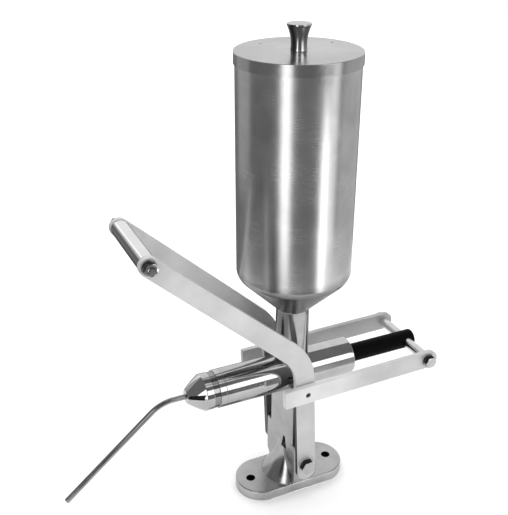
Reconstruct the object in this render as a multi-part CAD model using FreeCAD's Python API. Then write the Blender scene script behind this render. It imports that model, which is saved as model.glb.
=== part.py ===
import FreeCAD
import Part
import math
import os

# Donut filler machine with a hand lever, in millimetres.
# The origin is on the underside of the foot's plate, midway between its two
# bolt holes. +Z is up, +X runs back along the barrel to the plunger, and the
# nozzle points to -X. The near side, with the heads of the bolts, is -Y.

# Fits: the slip fit holds pieces that stay together, the running fit is for
# shafts that turn or slide, and the side gap keeps moving faces apart.
slip = 0.05
running = 0.05
side_gap = 0.1
overrun = 5.0

# Foot
plate_length = 140.0
plate_width = 64.0
plate_thick = 12.7
plate_edge = 1.5
bolt_spacing = 105.5
bolt_hole_dia = 11.0
column_depth = 25.0
column_width = 58.0
column_corner = 4.0
column_shoulder = 8.0
flare_radius = 34.5
flare_height = 60.0
pivot_height = 50.0
hub_length = 77.0
hub_rise = 21.0
hub_drop = 28.0
hub_edge = 2.0
hub_corner = 3.0
saddle_depth = 10.2
pocket_radius = 7.0
pocket_tip_radius = 3.6
pocket_length = 18.0
pocket_inset = 3.0
pocket_rise = 4.0
pocket_offset = 10.0
plug_dia = 8.0
plug_length = 5.0
plug_stand = 0.6
plug_edge = 0.6

# Bolt up the column that holds the barrel down
tie_dia = 10.0
tie_head_dia = 16.0
tie_head_height = 10.0
tie_socket_across = 8.0
tie_socket_depth = 5.0
tie_counterbore_dia = 17.0
tie_counterbore_depth = 11.5
boss_dia = 20.0
boss_length = 14.0
boss_thread_depth = 11.0

# Pivot of the lever
shoulder_dia = 10.0
shoulder_thread_dia = 8.0
shoulder_thread_length = 20.0
shoulder_head_across = 16.0
shoulder_head_height = 6.4
pivot_washer_dia = 18.0
pivot_washer_thick = 0.8
bush_wall = 1.5
bush_set_back = 0.2

# Lever arms
bar_thick = 6.35
arm_width = 24.0
arm_lean = 2.5
arm_bend = 45.0
arm_corner_height = 148.0
arm_upper_length = 236.0
arm_tip_width = 20.6
arm_bend_radius = 60.0
arm_tail = 9.6
arm_spread = 6.6
arm_spread_start = 30.0
arm_spread_end = 205.0
arm_spread_radius = 300.0
arm_edge = 0.6
pin_height = 107.7
lever_swing = 36.0

# Handle
handle_dia = 19.05
handle_wall = 1.65
handle_bolt_dia = 8.0
thread_chamfer = 0.8

# M8 nuts, bolt heads and washers
hex_across = 13.0
nut_height = 6.5
head_height = 5.3
hex_trim_share = 0.97
washer_dia = 16.0
washer_thick = 1.6
bolt_end_stand = 2.0

# Links
link_height = 22.2
link_front_near = 29.0
link_front_far = 37.5
link_tail = 1.5
link_corner = 2.0
link_gap = 0.65
link_spacer_dia = 14.0
link_spacer_thick = 0.45
pin_dia = 6.0
pin_recess = 1.2
pin_tail = 3.0
pin_chamfer = 0.5
pin_clearance = 0.7
travel_share = 0.993

# Cross rod through the plunger
cross_rod_dia = 12.0
cross_rod_x = 158.5
cross_bolt_dia = 8.0
cross_bolt_depth = 20.0

# Barrel
barrel_height = 160.0
barrel_dia = 44.45
barrel_bore = 38.0
barrel_front = 90.0
barrel_rear = 70.0
spigot_length = 5.0
spigot_dia = 40.2
barrel_edge = 0.4

# Plunger and piston
plunger_dia = 22.0
plunger_tail = 10.0
plunger_chamfer = 1.5
piston_front = 21.0
piston_length = 28.0
piston_chamfer = 1.0
piston_spigot_dia = 12.0
piston_spigot_length = 16.0
piston_screw_dia = 8.0
piston_screw_head_dia = 13.0
piston_screw_head_height = 5.0
piston_screw_length = 34.0
ring_width = 4.0
ring_thick = 3.0
ring_inset = 4.0

# Rear gland
gland_gap = 0.6
gland_flange = 5.0
gland_chamfer = 1.2
gland_seal_width = 4.0
gland_seal_thick = 3.0
gland_seal_inset = 8.0

# Nose cap and nozzle
nose_collar = 8.0
nose_groove = 7.1
nose_groove_depth = 1.4
nose_band = 8.5
nose_band_dia = 43.0
nose_cone = 19.3
nose_bulge = 0.6
nose_base_round = 0.8
nose_tip_dia = 15.8
nose_tip_round = 1.0
nose_wall = 3.2
nose_seal_thick = 2.0
nozzle_dia = 6.35
nozzle_wall = 0.8
nozzle_inset = 11.0
nozzle_lead = 14.5
nozzle_bend_radius = 40.0
nozzle_drop_angle = 40.5
nozzle_straight = 136.0

# Neck and hopper
neck_dia = 38.1
neck_wall = 1.65
neck_top = 246.0
hopper_dia = 127.0
hopper_wall = 1.2
hopper_round = 12.0
hopper_lift = 0.1
rim_bead = 1.2

# Lid and knob
lid_top = 534.2
lid_skirt = 12.2
lid_sheet = 0.9
lid_gap = 0.35
lid_round = 0.7
vent_dia = 2.5
vent_near_x = -22.4
vent_near_y = 41.8
vent_far_x = 46.1
vent_far_y = 15.8
knob_base_dia = 17.0
knob_waist_dia = 16.2
knob_top_dia = 24.6
knob_height = 25.6
knob_middle_share = 0.125
knob_lip = 1.6
knob_lip_round = 0.6
knob_screw_dia = 5.0
knob_screw_length = 14.0
knob_screw_head_dia = 9.0
knob_screw_head_height = 3.0
knob_washer_dia = 14.0
knob_washer_thick = 1.0

# What follows from the sizes above
barrel_radius = barrel_dia / 2
bore_radius = barrel_bore / 2
band_radius = nose_band_dia / 2
column_half = column_depth / 2
plug_x = plug_edge + plug_dia / 2 - column_half
hub_half = hub_length / 2
arm_inner = hub_half + pivot_washer_thick + side_gap
arm_outer = arm_inner + bar_thick
handle_inner = arm_inner + arm_spread
handle_outer = arm_outer + arm_spread
link_inner = arm_outer + link_gap
link_outer = link_inner + bar_thick
lean = math.radians(arm_lean)
turn = math.radians(arm_bend)
link_pin_x = -pin_height * math.sin(lean)
link_pin_z = pivot_height + pin_height * math.cos(lean)
link_length = math.hypot(cross_rod_x - link_pin_x, barrel_height - link_pin_z)
hopper_radius = hopper_dia / 2
neck_radius = neck_dia / 2
lid_under = lid_top - lid_sheet

X = FreeCAD.Vector(1, 0, 0)
Y = FreeCAD.Vector(0, 1, 0)
Z = FreeCAD.Vector(0, 0, 1)


def at(x, y, z):
    return FreeCAD.Vector(x, y, z)


def bar_x(radius, x0, x1, z=barrel_height):
    return Part.makeCylinder(radius, x1 - x0, at(x0, 0, z), X)


def bar_y(radius, y0, y1, x, z):
    return Part.makeCylinder(radius, abs(y1 - y0), at(x, min(y0, y1), z), Y)


def bar_z(radius, z0, z1, x=0, y=0):
    return Part.makeCylinder(radius, z1 - z0, at(x, y, z0), Z)


def hexagon(across, centre, first, second):
    """a flat hexagon about a centre, in the plane of two directions"""
    corner = across / math.sqrt(3)
    angles = [math.radians(60 * i) for i in range(7)]
    ring = [centre + first * (corner * math.cos(a)) + second * (corner * math.sin(a)) for a in angles]
    return Part.Face(Part.makePolygon(ring))


def hexagon_y(across, y0, y1, x, z):
    prism = hexagon(across, at(x, min(y0, y1), z), X, Z).extrude(Y * abs(y1 - y0))
    return prism.common(bar_y(across / math.sqrt(3) * hex_trim_share, y0, y1, x, z))


def washer_y(outer_dia, inner_dia, y0, y1, x, z):
    hole = bar_y(inner_dia / 2, y0 - side_gap, y1 + side_gap, x, z)
    return bar_y(outer_dia / 2, y0, y1, x, z).cut(hole)


def spun(points, axis):
    """a closed outline turned a full round about an axis through the origin"""
    wire = Part.makePolygon(points + [points[0]])
    return Part.Face(wire).revolve(at(0, 0, 0), axis, 360)


def round_edges(shape, radius, test):
    """fillet the edges whose middle point passes the test"""
    edges = [e for e in shape.Edges if test(e.CenterOfMass, e)]
    return shape.makeFillet(radius, edges) if edges else shape


def both_sides(make):
    """the same piece at the near side (-1) and the far side (+1)"""
    return Part.makeCompound([make(-1), make(1)])


def save(shape, node):
    shape.exportStep("parts/%s.step" % node)
    solids = shape.Solids
    print("%-20s solids %d  volume %10.1f" % (node, len(solids), sum(s.Volume for s in solids)))


# Foot: plate, column, flare, hub and saddle in one casting
def plate():
    straight = plate_length - plate_width
    end = plate_width / 2
    body = Part.makeBox(straight, plate_width, plate_thick, at(-straight / 2, -end, 0))
    for side in (-1, 1):
        body = body.fuse(bar_z(end, 0, plate_thick, side * straight / 2))
    body = body.removeSplitter()
    return round_edges(body, plate_edge, lambda c, e: abs(c.z - plate_thick) < slip)


def flare():
    """a turned, concave skirt about the column, cut off at the plate's sides"""
    z0 = plate_thick - plate_edge
    top = plate_thick + flare_height
    reach = flare_radius - column_half
    radius = (reach ** 2 + flare_height ** 2) / (2 * reach)
    half_angle = math.asin(flare_height / radius) / 2
    middle = at(column_half + radius * (1 - math.cos(half_angle)), 0, top - radius * math.sin(half_angle))
    rim = at(flare_radius, 0, plate_thick)
    edges = [Part.Arc(at(column_half, 0, top), middle, rim).toShape(),
             Part.makeLine(rim, at(flare_radius, 0, z0)),
             Part.makeLine(at(flare_radius, 0, z0), at(0, 0, z0)),
             Part.makeLine(at(0, 0, z0), at(0, 0, top)),
             Part.makeLine(at(0, 0, top), at(column_half, 0, top))]
    body = Part.Face(Part.Wire(edges)).revolve(at(0, 0, 0), Z, 360)
    side = plate_width / 2 - plate_edge
    return body.common(Part.makeBox(2 * flare_radius, 2 * side, top, at(-flare_radius, -side, 0)))


def hub():
    """the pivot's hub crosses the column, and its ends lean in to the plate below it"""
    top = pivot_height + hub_rise
    low = pivot_height - hub_drop
    side = plate_width / 2 - plate_edge
    foot_z = plate_thick - plate_edge
    near = [(-hub_half, top), (-hub_half, low), (-side, foot_z)]
    outline = near + [(-y, z) for y, z in reversed(near)] + near[:1]
    ring = [at(-column_half, y, z) for y, z in outline]
    body = Part.Face(Part.makePolygon(ring)).extrude(X * column_depth)
    body = round_edges(body, hub_corner,
                       lambda c, e: abs(abs(c.x) - column_half) < slip and abs(c.y) > side)
    return round_edges(body, hub_edge,
                       lambda c, e: abs(c.z - top) < slip and abs(abs(c.y) - hub_half) < slip)


def foot():
    saddle_top = barrel_height - saddle_depth
    column = Part.makeBox(column_depth, column_width, saddle_top - plate_thick,
                          at(-column_half, -column_width / 2, plate_thick))
    column = round_edges(column, column_shoulder,
                         lambda c, e: abs(c.z - saddle_top) < slip and abs(c.x) < slip)
    upright = [at(sx * column_half, sy * column_width / 2, 0) for sx in (-1, 1) for sy in (-1, 1)]
    column = round_edges(column, column_corner,
                         lambda c, e: plate_thick < c.z < saddle_top - column_shoulder
                         and any(math.hypot(c.x - u.x, c.y - u.y) < slip for u in upright))
    body = plate().fuse([column, flare(), hub()])
    body = body.cut(bar_x(barrel_radius + slip, -column_depth, column_depth))
    boss_low = barrel_height - barrel_radius - boss_length
    body = body.cut(bar_z(boss_dia / 2 + slip, boss_low, barrel_height))
    body = body.cut(bar_z(tie_dia / 2 + slip, -overrun, barrel_height))
    body = body.cut(bar_z(tie_counterbore_dia / 2, -overrun, tie_counterbore_depth))
    thread_end = hub_half - shoulder_thread_length - side_gap
    for side in (-1, 1):
        body = body.cut(bar_y(shoulder_thread_dia / 2 + slip, side * thread_end,
                              side * (hub_half + overrun), 0, pivot_height))
        body = body.cut(bar_z(bolt_hole_dia / 2, -overrun, plate_thick + overrun,
                              side * bolt_spacing / 2))
    floor = pivot_height + pocket_rise
    pocket = Part.makeCone(pocket_radius, pocket_tip_radius, pocket_length,
                           at(pocket_inset - column_half, -pocket_offset, floor), Z)
    plug_hole = bar_z(plug_dia / 2 + slip, floor - plug_length - slip, floor + slip,
                      plug_x, -pocket_offset)
    return body.cut([pocket, plug_hole]).removeSplitter()


def pocket_plug():
    floor = pivot_height + pocket_rise
    body = bar_z(plug_dia / 2, floor - plug_length, floor + plug_stand, plug_x, -pocket_offset)
    return round_edges(body, plug_stand / 2,
                       lambda c, e: abs(c.z - floor - plug_stand) < slip and e.Closed)


def barrel_boss():
    low = barrel_height - barrel_radius - boss_length
    body = bar_z(boss_dia / 2, low, barrel_height).cut(bar_x(barrel_radius, -boss_dia, boss_dia))
    return body.cut(bar_z(tie_dia / 2 + slip, low - overrun, low + boss_thread_depth))


def tie_bolt():
    seat = tie_counterbore_depth
    top = barrel_height - barrel_radius - boss_length + boss_thread_depth - side_gap
    body = bar_z(tie_dia / 2, seat - tie_head_height / 2, top)
    body = body.fuse(bar_z(tie_head_dia / 2, seat - tie_head_height, seat)).removeSplitter()
    socket = hexagon(tie_socket_across, at(0, 0, seat - tie_head_height), X, Y)
    return body.cut(socket.extrude(Z * tie_socket_depth))


# Lever pivot
def pivot_bolt(side):
    seat = arm_outer + side_gap + pivot_washer_thick
    end = hub_half - shoulder_thread_length
    body = bar_y(shoulder_thread_dia / 2, side * end, side * hub_half, 0, pivot_height)
    body = body.fuse(bar_y(shoulder_dia / 2, side * hub_half, side * seat, 0, pivot_height))
    head = hexagon_y(shoulder_head_across, side * seat, side * (seat + shoulder_head_height),
                     0, pivot_height)
    return body.fuse(head).removeSplitter()


def pivot_washers():
    rings = []
    for side in (-1, 1):
        for start in (hub_half, arm_outer + side_gap):
            y0, y1 = sorted((side * start, side * (start + pivot_washer_thick)))
            rings.append(washer_y(pivot_washer_dia, shoulder_dia + 2 * slip, y0, y1, 0, pivot_height))
    return Part.makeCompound(rings)


def pivot_bush(side):
    y0, y1 = sorted((side * (arm_inner + bush_set_back), side * (arm_outer - bush_set_back)))
    inner = shoulder_dia + 2 * running
    return washer_y(inner + 2 * bush_wall, inner, y0, y1, 0, pivot_height)


# Lever arms
def faces_aside(face):
    """whether a face of the bar is one of its two broad faces"""
    u0, u1, v0, v1 = face.ParameterRange
    return abs(face.normalAt((u0 + u1) / 2, (v0 + v1) / 2).y) > math.sqrt(0.5)


def arm_frame():
    """unit vectors along both legs, their right-hand normals, and the corner"""
    up = at(-math.sin(lean), 0, math.cos(lean))
    right = at(math.cos(lean), 0, math.sin(lean))
    over = at(-math.sin(lean + turn), 0, math.cos(lean + turn))
    outer = at(math.cos(lean + turn), 0, math.sin(lean + turn))
    corner = at(0, 0, pivot_height) + up * arm_corner_height
    return up, right, over, outer, corner


def handle_centre():
    up, right, over, outer, corner = arm_frame()
    return corner + over * arm_upper_length


def slot_ends():
    """how far below and above its rest place the link pin rides in the arm's slot"""
    start = math.asin((barrel_height - link_pin_z) / link_length)
    drop = barrel_height - pivot_height
    swing = math.radians(lever_swing)
    end_pin_z = pin_height * math.cos(lean + swing)
    end_tilt = math.asin((drop - end_pin_z) / link_length)
    end_rod_x = -pin_height * math.sin(lean + swing) + link_length * math.cos(end_tilt)
    stroke = (cross_rod_x - end_rod_x) * travel_share
    low = high = 0
    steps = 36
    for step in range(steps + 1):
        share = step / steps
        tilt = start + (end_tilt - start) * share
        x = cross_rod_x - stroke * share - link_length * math.cos(tilt)
        z = drop - link_length * math.sin(tilt)
        angle = lean + swing * share
        along = -x * math.sin(angle) + z * math.cos(angle) - pin_height
        low = min(low, along)
        high = max(high, along)
    return low, high, stroke, math.degrees(end_tilt - start)


def arm_outline():
    """the arm's flat shape: an edgewise bend between two legs, the upper one drawn in"""
    up, right, over, outer, corner = arm_frame()
    half = arm_width / 2
    tip_half = arm_tip_width / 2
    tangent = arm_bend_radius * math.tan(turn / 2)
    bend_start = corner - up * tangent
    bend_end = corner + over * tangent
    centre = bend_start - right * arm_bend_radius
    middle = right + outer
    middle.normalize()
    tail = at(0, 0, pivot_height) - up * arm_tail
    tip = handle_centre()
    edges = [
        Part.makeLine(tail + right * half, bend_start + right * half),
        Part.Arc(bend_start + right * half, centre + middle * (arm_bend_radius + half),
                 bend_end + outer * half).toShape(),
        Part.makeLine(bend_end + outer * half, tip + outer * tip_half),
        Part.Arc(tip + outer * tip_half, tip + over * tip_half, tip - outer * tip_half).toShape(),
        Part.makeLine(tip - outer * tip_half, bend_end - outer * half),
        Part.Arc(bend_end - outer * half, centre + middle * (arm_bend_radius - half),
                 bend_start - right * half).toShape(),
        Part.makeLine(bend_start - right * half, tail - right * half),
        Part.Arc(tail - right * half, tail - up * half, tail + right * half).toShape()]
    return Part.Face(Part.Wire(edges))


def arm_set(side):
    """the band of space the flat bar fills, set outward between the bend and the handle"""
    up, right, over, outer, corner = arm_frame()
    slope = math.atan(arm_spread / (arm_spread_end - arm_spread_start))
    tangent = arm_spread_radius * math.tan(slope / 2)
    sag = arm_spread_radius * (1 - math.cos(slope / 2))
    half_run = arm_spread_radius * math.sin(slope / 2)
    run = tangent * math.cos(slope)
    rise = tangent * math.sin(slope)
    far_end = arm_upper_length + arm_width
    path = [(-far_end, 0), (arm_spread_start - tangent, 0),
            (arm_spread_start - tangent + half_run, sag), (arm_spread_start + run, rise),
            (arm_spread_end - run, arm_spread - rise),
            (arm_spread_end + tangent - half_run, arm_spread - sag),
            (arm_spread_end + tangent, arm_spread), (far_end, arm_spread)]

    def points(face):
        start = corner - outer * far_end
        return [start + over * along + Y * (side * (face + out)) for along, out in path]

    def bent(p):
        return [Part.makeLine(p[0], p[1]), Part.Arc(p[1], p[2], p[3]).toShape(), Part.makeLine(p[3], p[4]),
                Part.Arc(p[4], p[5], p[6]).toShape(), Part.makeLine(p[6], p[7])]

    inner, back = points(arm_inner), points(arm_outer)
    ends = [Part.makeLine(inner[0], back[0]), Part.makeLine(inner[-1], back[-1])]
    wire = Part.Wire(Part.__sortEdges__(bent(inner) + bent(back) + ends))
    return Part.Face(wire).extrude(outer * (2 * far_end))


def lever_arm(side):
    up, right, over, outer, corner = arm_frame()
    tip = handle_centre()
    y0, y1 = -handle_outer - overrun, handle_outer + overrun
    low_side, high_side = sorted((side * (arm_inner - side_gap), side * y1))
    body = arm_outline().extrude(Y * (high_side - low_side))
    body.translate(at(0, low_side, 0))
    body = body.common(arm_set(side))
    rim = [e for e in body.Edges
           if len([f for f in body.ancestorsOfType(e, Part.Face) if faces_aside(f)]) == 1]
    body = body.makeChamfer(arm_edge, rim)
    low, high, stroke, tilt = slot_ends()
    bush_outer = shoulder_dia / 2 + running + bush_wall
    body = body.cut(bar_y(bush_outer + slip, y0, y1, 0, pivot_height))
    body = body.cut(bar_y(handle_bolt_dia / 2 + slip, y0, y1, tip.x, tip.z))
    slot_half = pin_dia / 2 + pin_clearance
    low_end = at(0, y0, pivot_height) + up * (pin_height + low)
    high_end = at(0, y0, pivot_height) + up * (pin_height + high)
    for end in (low_end, high_end):
        body = body.cut(bar_y(slot_half, y0, y1, end.x, end.z))
    aside = right * slot_half
    web = Part.makePolygon([low_end - aside, low_end + aside, high_end + aside, high_end - aside,
                            low_end - aside])
    return body.cut(Part.Face(web).extrude(Y * (y1 - y0)))


def handle_tube():
    c = handle_centre()
    end = handle_inner
    bore = bar_y(handle_dia / 2 - handle_wall, -end - overrun, end + overrun, c.x, c.z)
    return bar_y(handle_dia / 2, -end, end, c.x, c.z).cut(bore)


def handle_bolt():
    c = handle_centre()
    end = handle_outer + washer_thick + nut_height + bolt_end_stand
    body = bar_y(handle_bolt_dia / 2, -end, end, c.x, c.z)
    rims = [e for e in body.Edges if abs(abs(e.CenterOfMass.y) - end) < slip]
    return body.makeChamfer(thread_chamfer, rims)


def handle_washer(side):
    c = handle_centre()
    y0, y1 = sorted((side * handle_outer, side * (handle_outer + washer_thick)))
    return washer_y(washer_dia, handle_bolt_dia + 2 * slip, y0, y1, c.x, c.z)


def handle_nut(side):
    c = handle_centre()
    seat = handle_outer + washer_thick
    end = seat + nut_height + overrun
    nut = hexagon_y(hex_across, side * seat, side * (seat + nut_height), c.x, c.z)
    return nut.cut(bar_y(handle_bolt_dia / 2 + slip, -end, end, c.x, c.z))


# Links
def link(side):
    front_reach = link_front_near if side < 0 else link_front_far
    pin = at(link_pin_x, 0, link_pin_z)
    rod = at(cross_rod_x, 0, barrel_height)
    along = rod - pin
    along.normalize()
    above = at(-along.z, 0, along.x)
    half = link_height / 2
    front = pin - along * front_reach
    rear = rod + along * link_tail
    c = link_corner
    root = 1 - math.sqrt(0.5)
    low = front - above * half
    high = front + above * half
    edges = [
        Part.makeLine(high + along * c, rear + above * half),
        Part.Arc(rear + above * half, rear + along * half, rear - above * half).toShape(),
        Part.makeLine(rear - above * half, low + along * c),
        Part.Arc(low + along * c, low + (along + above) * (c * root), low + above * c).toShape(),
        Part.makeLine(low + above * c, high - above * c),
        Part.Arc(high - above * c, high + (along - above) * (c * root), high + along * c).toShape()]
    body = Part.Face(Part.Wire(edges)).extrude(Y * bar_thick)
    body.translate(at(0, min(side * link_inner, side * link_outer), 0))
    body = body.makeChamfer(arm_edge, body.Edges)
    y0, y1 = -link_outer - overrun, link_outer + overrun
    body = body.cut(bar_y(pin_dia / 2 + slip, y0, y1, pin.x, pin.z))
    return body.cut(bar_y(cross_bolt_dia / 2 + running, y0, y1, rod.x, rod.z))


def link_pin(side):
    y0, y1 = sorted((side * (arm_inner - pin_tail), side * (link_outer - pin_recess)))
    body = bar_y(pin_dia / 2, y0, y1, link_pin_x, link_pin_z)
    rims = [e for e in body.Edges
            if min(abs(e.CenterOfMass.y - y0), abs(e.CenterOfMass.y - y1)) < slip]
    return body.makeChamfer(pin_chamfer, rims)


def link_spacer(side):
    y0, y1 = sorted((side * link_inner, side * (link_inner - link_spacer_thick)))
    return washer_y(link_spacer_dia, pin_dia + 2 * slip, y0, y1, link_pin_x, link_pin_z)


# Plunger side
def cross_rod():
    end = link_inner - side_gap
    body = bar_y(cross_rod_dia / 2, -end, end, cross_rod_x, barrel_height)
    for side in (-1, 1):
        body = body.cut(bar_y(cross_bolt_dia / 2 + slip, side * (end - cross_bolt_depth),
                              side * (end + overrun), cross_rod_x, barrel_height))
    return body


def cross_bolt(side):
    seat = link_outer + side_gap + washer_thick
    start = link_inner - cross_bolt_depth
    body = bar_y(cross_bolt_dia / 2, side * start, side * (seat + head_height / 2),
                 cross_rod_x, barrel_height)
    head = hexagon_y(hex_across, side * seat, side * (seat + head_height),
                     cross_rod_x, barrel_height)
    return body.fuse(head).removeSplitter()


def cross_washer(side):
    seat = link_outer + side_gap
    y0, y1 = sorted((side * seat, side * (seat + washer_thick)))
    return washer_y(washer_dia, cross_bolt_dia + 2 * slip, y0, y1, cross_rod_x, barrel_height)


def plunger():
    front = piston_front + piston_length
    rear = cross_rod_x + plunger_tail
    body = bar_x(plunger_dia / 2, front, rear)
    end_rim = [e for e in body.Edges if abs(e.CenterOfMass.x - rear) < slip]
    body = body.makeChamfer(plunger_chamfer, end_rim)
    spigot = bar_x(piston_spigot_dia / 2, front - piston_spigot_length, front + overrun)
    body = body.fuse(spigot).removeSplitter()
    tip = front - piston_spigot_length
    thread_end = piston_front + piston_screw_length + side_gap
    body = body.cut(bar_x(piston_screw_dia / 2 + slip, tip - overrun, thread_end))
    cross_hole = bar_y(cross_rod_dia / 2 + slip, -plunger_dia, plunger_dia, cross_rod_x, barrel_height)
    return body.cut(cross_hole)


def ring_places():
    return (piston_front + ring_inset, piston_front + piston_length - ring_inset - ring_width)


def piston():
    rear = piston_front + piston_length
    body = bar_x(bore_radius - running, piston_front, rear)
    ends = [e for e in body.Edges
            if min(abs(e.CenterOfMass.x - piston_front), abs(e.CenterOfMass.x - rear)) < slip]
    body = body.makeChamfer(piston_chamfer, ends)
    for x in ring_places():
        groove = bar_x(bore_radius + overrun, x, x + ring_width).cut(
            bar_x(bore_radius - ring_thick, x - overrun, x + ring_width + overrun))
        body = body.cut(groove)
    body = body.cut(bar_x(piston_spigot_dia / 2 + slip, rear - piston_spigot_length - side_gap,
                          rear + overrun))
    body = body.cut(bar_x(piston_screw_dia / 2 + slip, piston_front - overrun, rear))
    return body.cut(bar_x(piston_screw_head_dia / 2 + slip, piston_front - overrun,
                          piston_front + piston_screw_head_height))


def piston_rings():
    rings = []
    for x in ring_places():
        ring = bar_x(bore_radius - running / 2, x + slip, x + ring_width - slip)
        hole = bar_x(bore_radius - ring_thick + slip, x - overrun, x + ring_width + overrun)
        rings.append(ring.cut(hole))
    return Part.makeCompound(rings)


def piston_screw():
    body = bar_x(piston_screw_head_dia / 2, piston_front, piston_front + piston_screw_head_height)
    return body.fuse(bar_x(piston_screw_dia / 2, piston_front + piston_screw_head_height / 2,
                           piston_front + piston_screw_length)).removeSplitter()


# Barrel
def barrel():
    body = bar_x(barrel_radius, -barrel_front, barrel_rear)
    front_rim = [e for e in body.Edges if abs(e.CenterOfMass.x + barrel_front) < slip]
    body = body.makeChamfer(barrel_edge, front_rim)
    body = body.fuse(bar_x(spigot_dia / 2, -barrel_front - spigot_length, -barrel_front + overrun))
    body = body.cut(bar_x(bore_radius, -barrel_front - spigot_length - overrun, barrel_rear + overrun))
    port = bar_z(neck_radius - neck_wall, barrel_height, barrel_height + barrel_dia)
    return body.cut(port).removeSplitter()


def gland():
    front = piston_front + piston_length + gland_gap
    rear = barrel_rear + gland_flange
    body = bar_x(bore_radius - slip, front, barrel_rear)
    flange = bar_x(barrel_radius, barrel_rear, rear)
    rear_rim = [e for e in flange.Edges if abs(e.CenterOfMass.x - rear) < slip]
    flange = flange.makeChamfer(gland_chamfer, rear_rim)
    body = body.fuse(flange).removeSplitter()
    body = body.cut(bar_x(plunger_dia / 2 + running, front - overrun, rear + overrun))
    x = rear - gland_seal_inset - gland_seal_width
    return body.cut(bar_x(plunger_dia / 2 + gland_seal_thick, x, x + gland_seal_width))


def gland_seal():
    x = barrel_rear + gland_flange - gland_seal_inset - gland_seal_width
    body = bar_x(plunger_dia / 2 + gland_seal_thick - slip, x + slip, x + gland_seal_width - slip)
    return body.cut(bar_x(plunger_dia / 2 + running / 2, x - overrun, x + gland_seal_width + overrun))


# Nose cap: collar, grip groove, band and cone, screwed over the barrel's spigot
def nose_stations():
    seam = -barrel_front
    groove = seam - nose_collar
    band = groove - nose_groove
    cone = band - nose_band
    tip = cone - nose_cone
    return seam, groove, band, cone, tip


def nose_cap():
    seam, groove, band, cone, tip = nose_stations()
    tip_radius = nose_tip_dia / 2
    chord_x = (cone + tip) / 2
    chord_r = (band_radius + tip_radius) / 2
    chord = math.hypot(cone - tip, band_radius - tip_radius)
    crown = at(chord_x - nose_bulge * (band_radius - tip_radius) / chord, 0,
               barrel_height + chord_r + nose_bulge * (cone - tip) / chord)
    axis = at(tip, 0, barrel_height)
    shoulder = at(cone, 0, barrel_height + band_radius)
    edge = at(tip, 0, barrel_height + tip_radius)
    middle = at(cone, 0, barrel_height)
    outline = [Part.makeLine(axis, edge), Part.Arc(edge, crown, shoulder).toShape(),
               Part.makeLine(shoulder, middle), Part.makeLine(middle, axis)]
    body = Part.Face(Part.Wire(outline)).revolve(axis, X, 360)
    body = body.fuse([bar_x(band_radius, cone, band), bar_x(barrel_radius, groove, seam),
                      bar_x(barrel_radius - nose_groove_depth, band, groove)]).removeSplitter()
    body = round_edges(body, nose_base_round, lambda c, e: abs(c.x - cone) < slip)
    body = round_edges(body, nose_tip_round, lambda c, e: abs(c.x - tip) < slip)
    seat = seam - spigot_length - nose_seal_thick
    body = body.cut(bar_x(spigot_dia / 2 + slip, seat, seam + overrun))
    body = body.cut(bar_x(bore_radius, cone + nose_wall, seam))
    inner_tip = tip + nozzle_inset
    body = body.cut(Part.makeCone(nozzle_dia / 2 - nozzle_wall, bore_radius, cone + nose_wall - inner_tip,
                                  at(inner_tip, 0, barrel_height), X))
    return body.cut(bar_x(nozzle_dia / 2 + slip, tip - overrun, inner_tip + nozzle_wall))


def nose_seal():
    seam = -barrel_front
    x0 = seam - spigot_length - nose_seal_thick
    return bar_x(spigot_dia / 2, x0, x0 + nose_seal_thick).cut(
        bar_x(bore_radius + slip, x0 - overrun, x0 + nose_seal_thick + overrun))


def nozzle_path():
    """straight out of the cone, one bend down, then a long straight"""
    seam, groove, band, cone, tip = nose_stations()
    angle = math.radians(nozzle_drop_angle)
    start = at(tip + nozzle_inset, 0, barrel_height)
    bend = at(tip - nozzle_lead, 0, barrel_height)
    centre = bend - Z * nozzle_bend_radius
    middle = centre + at(-math.sin(angle / 2), 0, math.cos(angle / 2)) * nozzle_bend_radius
    after = centre + at(-math.sin(angle), 0, math.cos(angle)) * nozzle_bend_radius
    end = after + at(-math.cos(angle), 0, -math.sin(angle)) * nozzle_straight
    return Part.Wire([Part.makeLine(start, bend), Part.Arc(bend, middle, after).toShape(),
                      Part.makeLine(after, end)])


def nozzle():
    path = nozzle_path()
    start = path.Vertexes[0].Point
    walls = []
    for radius in (nozzle_dia / 2, nozzle_dia / 2 - nozzle_wall):
        circle = Part.Wire([Part.makeCircle(radius, start, X)])
        walls.append(path.makePipeShell([circle], True, False))
    return walls[0].cut(walls[1])


# Neck and hopper
def neck_tube():
    body = bar_z(neck_radius, barrel_height, neck_top).cut(
        bar_z(neck_radius - neck_wall, barrel_height - overrun, neck_top + overrun))
    return body.cut(bar_x(barrel_radius, -neck_dia, neck_dia))


def hopper():
    """cylinder, rounded shoulder and cone of one sheet, with a rolled rim inside"""
    shoulder = neck_top + hopper_radius - neck_radius
    top = lid_under - hopper_lift
    slant = hopper_wall * math.sqrt(2)
    inner = hopper_radius - hopper_wall
    knee = neck_top + inner - neck_radius + slant
    outer_line = [(neck_radius, neck_top), (hopper_radius, shoulder), (hopper_radius, top), (0, top),
                  (0, neck_top)]
    inner_line = [(neck_radius - slant, neck_top), (inner, knee), (inner, top + overrun),
                  (0, top + overrun), (0, neck_top - overrun), (neck_radius - slant, neck_top - overrun)]
    outer = spun([at(x, 0, z) for x, z in outer_line], Z)
    outer = round_edges(outer, hopper_round, lambda c, e: abs(c.z - shoulder) < slip)
    void = spun([at(x, 0, z) for x, z in inner_line], Z)
    void = round_edges(void, hopper_round - hopper_wall, lambda c, e: abs(c.z - knee) < slip)
    bead = Part.makeTorus(inner - rim_bead / 2, rim_bead, at(0, 0, top - rim_bead), Z)
    return outer.cut(void).fuse(bead).removeSplitter()


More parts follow.
